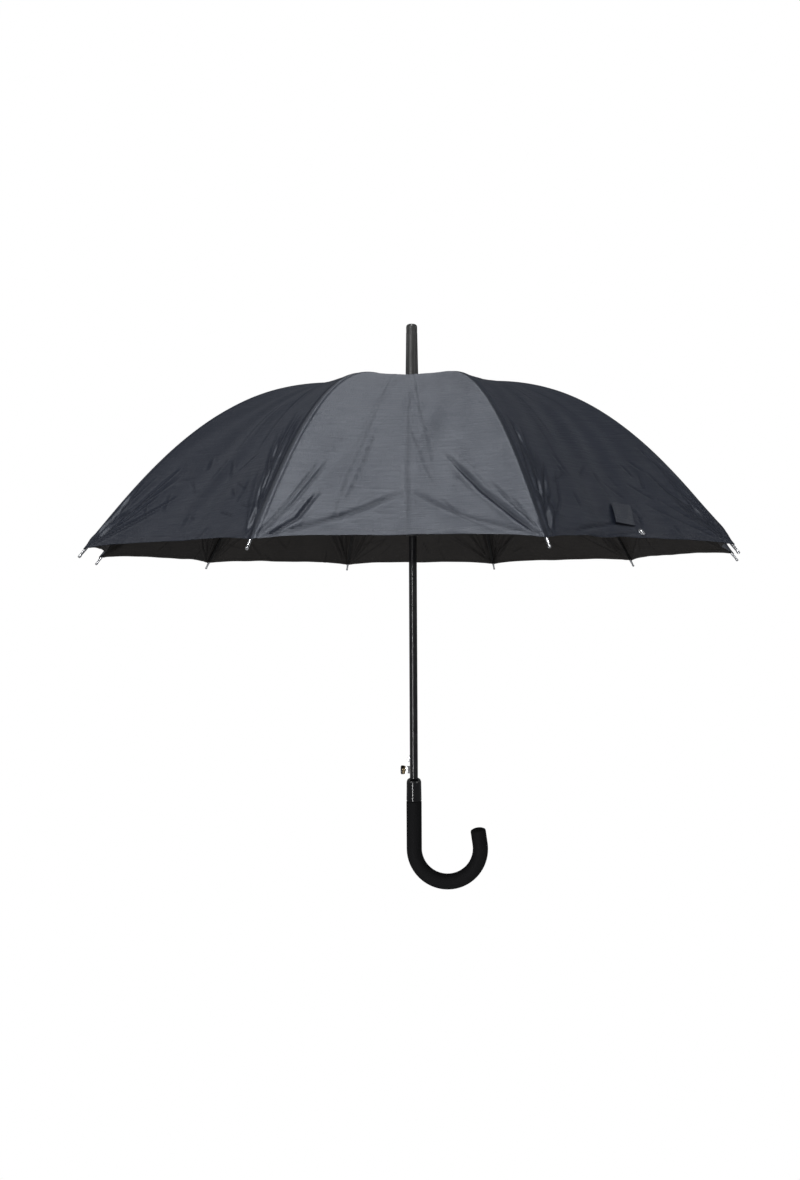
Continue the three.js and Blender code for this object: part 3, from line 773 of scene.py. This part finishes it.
EYE_LENGTH = 0.0040     # from the inner pivot to the rod's start
EYE_RADIUS = 0.0019
FLEX_GAP = 0.0009       # between the bracket and each half of the rod
CLIP_LENGTH = 0.013     # of the sleeve on the rod beside the bracket
CLIP_SIZE = 1.22        # of the sleeve's section, to the rod's
TIP_SLEEVE = 0.0125     # of the rod's end that the bright tip covers


def rib_path(rib, start, end, steps):
    out, side = rib_frame(rib)
    path = []
    for length in np.linspace(start, end, steps + 1):
        radius, height = rib_point(length)
        slope = float(slope_at(length))
        up = out * math.sin(slope) + Vector((0, 0, math.cos(slope)))
        path.append((out * float(radius) + Vector((0, 0, float(height))), side, up))
    return path


def channel():
    """A rib's section: a channel that is open underneath, with a rounded back."""
    wide, wall, deep = 0.0016, 0.00045, 0.0016
    back = [(wide * math.cos(a), deep * math.sin(a)) for a in np.linspace(0, math.pi, 9)]
    inner = wide - wall
    hollow = [(-inner * math.cos(a), inner * math.sin(a)) for a in np.linspace(0, math.pi, 7)]
    lip = -deep * 0.75
    return back + [(-wide, lip), (-inner, lip)] + hollow + [(inner, lip), (wide, lip)]


def join_objects(name, parts):
    """One object from several, keeping their materials."""
    points, faces, kinds, looks = [], [], [], []
    for part in parts:
        base = len(points)
        for material in part.data.materials:
            if material not in looks:
                looks.append(material)
        points += [v.co.copy() for v in part.data.vertices]
        for polygon in part.data.polygons:
            faces.append(tuple(base + v for v in polygon.vertices))
            kinds.append(looks.index(part.data.materials[polygon.material_index]))
        bpy.data.objects.remove(part)
    made = mesh_object(name, points, faces, [])
    for material in looks:
        made.data.materials.append(material)
    made.data.polygons.foreach_set("material_index", kinds)
    return made


def bar_plate(name, a, b, radius, side, width, offset, look):
    """A flat bar with round ends from a to b, with its faces across the side direction."""
    along = (b - a).normalized()
    up = side.cross(along)
    ends = 10
    outline = []
    for centre, turn in ((b, -math.pi / 2), (a, math.pi / 2)):
        for i in range(ends + 1):
            angle = turn + math.pi * i / ends
            outline.append(centre + (along * math.cos(angle) + up * math.sin(angle)) * radius)
    count = len(outline)
    chamfer = min(0.0002, width * 0.25)
    half = width / 2
    points = []
    for height, inset in ((-half, chamfer), (-half + chamfer, 0), (half - chamfer, 0), (half, chamfer)):
        for p in outline:
            axis_point = a + along * max(0.0, min((b - a).length, (p - a).dot(along)))
            inward = (axis_point - p).normalized() * inset
            points.append(p + inward + side * (offset + height))
    faces = [tuple(range(count))[::-1], tuple(3 * count + i for i in range(count))]
    for row in range(3):
        for i in range(count):
            j = (i + 1) % count
            faces.append((row * count + i, row * count + j, (row + 1) * count + j, (row + 1) * count + i))
    return mesh_object(name, points, faces, [look])


def rivet(name, centre, side, radius, reach):
    """A pin through a joint with a low domed head at each end."""
    head = radius * 1.35
    dome = radius * 0.8
    profile = [(0, -reach - 0.0004), (dome, -reach - 0.00032), (head, -reach - 0.0001),
               (head, -reach + 0.0001), (radius, -reach + 0.0002), (radius, reach - 0.0002),
               (head, reach - 0.0001), (head, reach + 0.0001), (dome, reach + 0.00032), (0, reach + 0.0004)]
    turn = side.to_track_quat("Z", "Y").to_matrix().to_4x4()
    return lathe(name, profile, "bright", 16, Matrix.Translation(centre) @ turn)


def make_rib(rib):
    number = f"{rib + 1:02d}"
    out, side = rib_frame(rib)
    pivot = Vector(joints["rib_hinge_" + number]["pos_m"])
    bracket = Vector(joints["stretcher_hinge_" + number]["pos_m"])
    flex = Vector(joints["rib_flex_" + number]["pos_m"])
    section = channel()

    path = rib_path(rib, PIVOT_RADIUS + EYE_LENGTH, BRACKET_AT - FLEX_GAP, 26)
    rod = sweep("rod", path, [section] * len(path), "frame")
    eye_end = path[0][0] + out * 0.001
    eye = bar_plate("eye", pivot, eye_end, EYE_RADIUS, side, 0.0018, 0.0, "frame")
    lug = bar_plate("lug", flex - out * 0.002, bracket, EYE_RADIUS, side, 0.0009, -0.00175, "frame")
    clip_path = rib_path(rib, BRACKET_AT - CLIP_LENGTH, BRACKET_AT - 0.0012, 4)
    clip_section = [(s * CLIP_SIZE, u * CLIP_SIZE) for s, u in section]
    clip = sweep("clip", clip_path, [clip_section] * len(clip_path), "frame")
    inner = join_objects("rib_arm_" + number, [rod, eye, lug, clip])
    auto_smooth(inner)
    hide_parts("rib_inner_" + number)
    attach(inner, "rib_inner_" + number)

    path = rib_path(rib, BRACKET_AT + FLEX_GAP, RIB_LENGTH - TIP_SLEEVE, 40)
    outer = sweep("rib_end_" + number, path, [section] * len(path), "frame")
    auto_smooth(outer)
    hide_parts("rib_outer_" + number)
    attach(outer, "rib_outer_" + number)

    radius, height = rib_point(RIB_LENGTH)
    slope = float(slope_at(RIB_LENGTH - 0.008))
    along = out * math.cos(slope) - Vector((0, 0, math.sin(slope)))
    turn = along.to_track_quat("Z", "Y").to_matrix().to_4x4()
    place = Matrix.Translation(out * float(radius) + Vector((0, 0, float(height)))) @ turn
    profile = rounded([(0, -0.0165), (0.0019, -0.0165), (0.0019, -0.0125), (0.0016, -0.0060),
                       (0.00145, -0.0046), (0.0018, -0.0036), (0.0020, -0.0022), (0.0017, -0.0006),
                       (0.0012, 0), (0, 0)], 0.0005)
    tip = lathe("rib_tip_" + number, profile, "bright", 24, place)
    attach(tip, "rib_outer_" + number)

    pin = rivet("bracket_rivet_" + number, bracket - side * 0.0006, side, 0.0008, 0.0017)
    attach(pin, "rib_inner_" + number)
    link_pin = Vector(joints["link_hinge_" + number]["pos_m"])
    pin = rivet("link_rivet_" + number, link_pin - side * 0.0004, side, 0.0007, 0.0012)
    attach(pin, "stretcher_" + number)


# ---------------------------------------------------------------- shaft, ferrule, runner


BORE = 0.00655    # radius of the holes that the shaft goes through


def make_ferrule():
    low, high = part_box("ferrule")
    notch = low.z
    top = high.z
    bore_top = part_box("shaft_tube")[1].z + 0.0002
    profile = rounded([
        (0, bore_top), (BORE, bore_top), (BORE, notch + 0.0003), (0.0112, notch),
        (0.0112, notch + 0.0016), (0.0103, notch + 0.0040),
        (0.0099, notch + 0.02), (0.0088, top - 0.0150), (0.0089, top - 0.0136), (0.0084, top - 0.0131),
        (0.0086, top - 0.0126), (0.00865, top - 0.0040), (0.0080, top - 0.0012), (0.0062, top),
        (0, top)], 0.0007, 4)
    body = lathe("ferrule_sleeve", profile, "ferrule", 96)
    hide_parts("ferrule")
    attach(body, "shaft_and_handle")
    washer_low = notch - 0.0004
    profile = rounded([
        (0.0108, washer_low + 0.0012), (0.0108, washer_low), (0.0137, washer_low - 0.0003),
        (0.0140, washer_low + 0.0004), (0.0136, washer_low + 0.0012), (0.0114, washer_low + 0.0016),
        (0.0108, washer_low + 0.0012)], 0.0003)
    washer = lathe("ferrule_washer", profile, "fitting", 64)
    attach(washer, "shaft_and_handle")


def windowed_tube(name, radius, wall, low, high, windows, look):
    """A tube with rectangular windows on its -X side: each is (low, high, half width)."""
    angles = set(np.linspace(0, 2 * math.pi, 65)[:-1].round(6))
    heights = {low, high}
    for bottom, top, half in windows:
        reach = math.asin(half / radius)
        angles |= {round(math.pi - reach, 6), round(math.pi + reach, 6)}
        heights |= {bottom, top}
    angles = sorted(angles)
    heights = sorted(heights)
    points = []
    for r in (radius, radius - wall):
        for z in heights:
            points += [(r * math.cos(a), r * math.sin(a), z) for a in angles]
    count = len(angles)
    layer = count * len(heights)

    def solid(row, column):
        z = (heights[row] + heights[row + 1]) / 2
        a = (angles[column] + (angles[(column + 1) % count] if column + 1 < count else 2 * math.pi)) / 2
        y, x = radius * math.sin(a), math.cos(a)
        return not any(b < z < t and abs(y) < half and x < 0 for b, t, half in windows)

    faces = []
    for row in range(len(heights) - 1):
        for column in range(count):
            if not solid(row, column):
                continue
            j = (column + 1) % count
            a, b = row * count + column, row * count + j
            c, d = (row + 1) * count + j, (row + 1) * count + column
            faces.append((a, b, c, d))
            faces.append((layer + b, layer + a, layer + d, layer + c))
            beside = {
                (a, b): row == 0 or not solid(row - 1, column),
                (b, c): not solid(row, j),
                (c, d): row == len(heights) - 2 or not solid(row + 1, column),
                (d, a): not solid(row, column - 1),
            }
            for (p, q), is_open in beside.items():
                if is_open:
                    faces.append((q, p, layer + p, layer + q))
    made = mesh_object(name, points, faces, [look])
    return auto_smooth(made, 30)


def make_shaft():
    low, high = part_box("shaft_tube")
    catch_low, catch_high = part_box("closing_catch")
    stop = 0.0022
    button_z = (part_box("push_button")[0].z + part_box("push_button")[1].z) / 2
    windows = [
        (button_z - 0.0058, button_z + 0.0058, 0.0028),
        (catch_low.z + stop - 0.0001, catch_high.z - stop + 0.0003, 0.0015),
    ]
    tube = windowed_tube("shaft_skin", high.x, 0.0008, low.z, high.z, windows, "shaft")
    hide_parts("shaft_tube")
    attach(tube, "shaft_and_handle")


def make_spring():
    low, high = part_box("main_spring")
    wire = 0.00055
    mean = 0.0079
    turns = 8
    path = []
    steps = turns * 32
    for i in range(steps + 1):
        t = i / steps
        angle = 2 * math.pi * turns * t
        close = t - 0.018 * math.sin(4 * math.pi * t)
        z = high.z - wire - (high.z - low.z - 2 * wire) * close
        out = Vector((math.cos(angle), math.sin(angle), 0))
        path.append((out * mean + Vector((0, 0, z)), out, Vector((0, 0, 1))))
    spring = sweep("opening_spring", path, [circle(wire, 10)] * len(path), "spring")
    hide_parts("main_spring")
    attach(spring, "mid_nest")
    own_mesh(spring)


def make_sliders():
    finish_node("mid_nest", "fitting", 0.0003)
    finish_node("runner", "fitting", 0.0003)
    finish_node("top_notch", "fitting", 0.0003)
    for rib in range(RIBS):
        number = f"{rib + 1:02d}"
        finish_node("stretcher_" + number, "frame", 0.00018)
        finish_node("spreader_link_" + number, "frame", 0.00015)
    ring_heights = {
        "notch_wire": ("shaft_and_handle", Vector(joints["rib_hinge_01"]["pos_m"]).z, PIVOT_RADIUS),
        "nest_wire": ("mid_nest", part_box("mid_nest")[0].z + 0.008, PIVOT_RADIUS),
        "runner_wire": ("runner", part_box("runner")[1].z - 0.005, PIVOT_RADIUS + 0.0045),
    }
    for name, (body, height, radius) in ring_heights.items():
        path = []
        for i in range(97):
            angle = 2 * math.pi * i / 96
            out = Vector((math.cos(angle), math.sin(angle), 0))
            path.append((out * radius + Vector((0, 0, height)), out, Vector((0, 0, 1))))
        wire = sweep(name, path, [circle(0.00045, 8)] * len(path), "bright")
        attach(wire, body)


# ---------------------------------------------------------------- button, catch, collar, grip


def make_button():
    low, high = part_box("push_button")
    middle = (low.z + high.z) / 2
    face = low.x
    place = Matrix.Translation((face, 0, middle)) @ Matrix.Rotation(math.pi / 2, 4, "Y")
    profile = rounded([(0, 0.0002), (0.0040, 0), (0.0058, 0.0003), (0.0068, 0.0012), (0.0070, 0.0024),
                       (0.0069, 0.0030), (0, 0.0030)], 0.0005)
    cap = lathe("button_cap", profile, "gloss", 48, place)
    profile = rounded([(0, 0.0030), (0.0066, 0.0030), (0.00685, 0.0036), (0.0067, 0.0052), (0.0060, 0.0066),
                       (0.0046, 0.0077), (0.0026, 0.0082), (0, 0.0082)], 0.0005)
    side = lathe("button_side", profile, "brass", 48, place)
    heights = (middle - 0.0055, middle + 0.0055)
    stem = box_plate("button_stem", (face + 0.0078, -0.0032), (-0.0025, 0.0025), heights, 0.0006, "bright")
    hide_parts("push_button")
    for piece, slot in ((cap, "gloss_black"), (side, "bright_steel"), (stem, "bright_steel")):
        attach(piece, "push_button")


def box_plate(name, xs, ys, zs, round_by, look):
    """A block with rounded edges."""
    x0, x1 = xs
    y0, y1 = ys
    z0, z1 = zs
    points = [(x, y, z) for x in (x0, x1) for y in (y0, y1) for z in (z0, z1)]
    faces = [(0, 1, 3, 2), (4, 6, 7, 5), (0, 4, 5, 1), (2, 3, 7, 6), (0, 2, 6, 4), (1, 5, 7, 3)]
    made = mesh_object(name, points, faces, [look])
    bevel = made.modifiers.new("bevel", "BEVEL")
    bevel.width = round_by
    bevel.segments = 3
    return auto_smooth(made, 40)


def make_catch():
    finish_node("closing_catch", "bright", 0.0004)


def make_collar():
    low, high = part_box("handle_collar")
    top, bottom = high.z, low.z
    profile = rounded([
        (BORE, bottom), (0.0118, bottom), (0.0118, bottom + 0.001), (0.0115, top - 0.012),
        (0.0114, top - 0.0055), (0.0107, top - 0.0028), (0.0092, top - 0.0009), (0.0076, top - 0.0001),
        (0.0066, top), (BORE, bottom)], 0.0008, 4)
    collar = lathe("collar_sleeve", profile, "gloss", 96)
    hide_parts("handle_collar")
    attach(collar, "shaft_and_handle")


def make_grip():
    low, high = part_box("handle")
    radius = -low.x
    bend = 0.0515
    centre = low.z + radius + bend
    leg = 0.024
    straight = high.z - centre
    sweep_angle = math.radians(188)
    arc = bend * sweep_angle
    whole = straight + arc + leg
    end_edge, top_edge = 0.004, 0.0012
    path, sections = [], []
    for length in np.linspace(0, whole, 150):
        angle = min(max((length - straight) / bend, 0), sweep_angle)
        past = max(length - straight - arc, 0)
        inward = Vector((math.cos(angle), 0, math.sin(angle)))
        along = Vector((math.sin(angle), 0, -math.cos(angle)))
        if length < straight:
            point = Vector((0, 0, high.z - length))
        else:
            point = Vector((bend, 0, centre)) - inward * bend + along * past
        path.append((point, inward, Vector((0, 1, 0))))
        size = radius
        for from_end, edge in ((whole - length, end_edge), (length, top_edge)):
            if from_end < edge:
                size = radius - edge + math.sqrt(max(edge ** 2 - (edge - from_end) ** 2, 0))
        sections.append(circle(size, 48))
    end_point, inward, side = path[-1]
    along = (path[-1][0] - path[-2][0]).normalized()
    for share, lift in ((0.92, 0.0), (0.7, 0.0004), (0.35, 0.0008), (0.03, 0.0009)):
        path.append((end_point + along * lift, inward, side))
        sections.append(circle((radius - end_edge) * share, 48))
    grip = sweep("crook_grip", path, sections, "grip")
    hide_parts("handle")
    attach(grip, "shaft_and_handle")


# ---------------------------------------------------------------- floor and the rest


def make_floor():
    size = 40.0
    height = cad_box[0][2] - 1.05
    points = [(-size, -size, height), (size, -size, height), (size, size, height), (-size, size, height)]
    mesh = bpy.data.meshes.new("floor")
    mesh.from_pydata(points, [], [(0, 1, 2, 3)])
    look = Look("floor_white", Roughness=0.9)
    look.shader.inputs["Base Color"].default_value = (0.55, 0.55, 0.56, 1)
    seen = look.node("Emission", {"Color": (1, 1, 1, 1), "Strength": 1.0})
    path = look.node("LightPath")
    mix = look.node("MixShader")
    look.tree.links.new(path.outputs["Is Camera Ray"], mix.inputs[0])
    look.tree.links.new(look.shader.outputs[0], mix.inputs[1])
    look.tree.links.new(seen.outputs[0], mix.inputs[2])
    look.tree.links.new(mix.outputs[0], look.tree.nodes["Material Output"].inputs["Surface"])
    mesh.materials.append(look.material)
    floor = bpy.data.objects.new("floor", mesh)
    bpy.context.scene.collection.objects.link(floor)


make_camera()
make_world()
make_canopy()
make_strap()
for rib_index in range(RIBS):
    make_rib(rib_index)
make_ferrule()
make_shaft()
make_spring()
make_sliders()
make_button()
make_catch()
make_collar()
make_grip()
make_floor()
area_light("strip_above", (0.03, -1.9, 2.9), (0, -0.15, 0.6), (0.26, 1.6), 52)
area_light("gloss_left", (-2.8, 0.2, 1.9), (-0.2, -0.1, 0.4), (0.4, 0.7), 3.6)
area_light("gloss_right", (2.8, 0.1, 1.9), (0.2, -0.1, 0.4), (0.4, 0.7), 3.2)
area_light("fill_left", (-2.6, -2.6, 1.6), (0, 0, 0.4), (0.8, 1.2), 11)
area_light("fill_right", (2.8, -2.2, 1.2), (0, 0, 0.4), (0.8, 1.2), 8)
area_light("ferrule_gloss", (-0.62, -1.88, 1.45), (0, 0, 0.7), (0.12, 0.8), 6)
area_light("edge_front", (-0.62, -1.88, -0.25), (0, 0, -0.1), (0.05, 1.5), 10)
bpy.context.scene.view_settings.view_transform = "Standard"
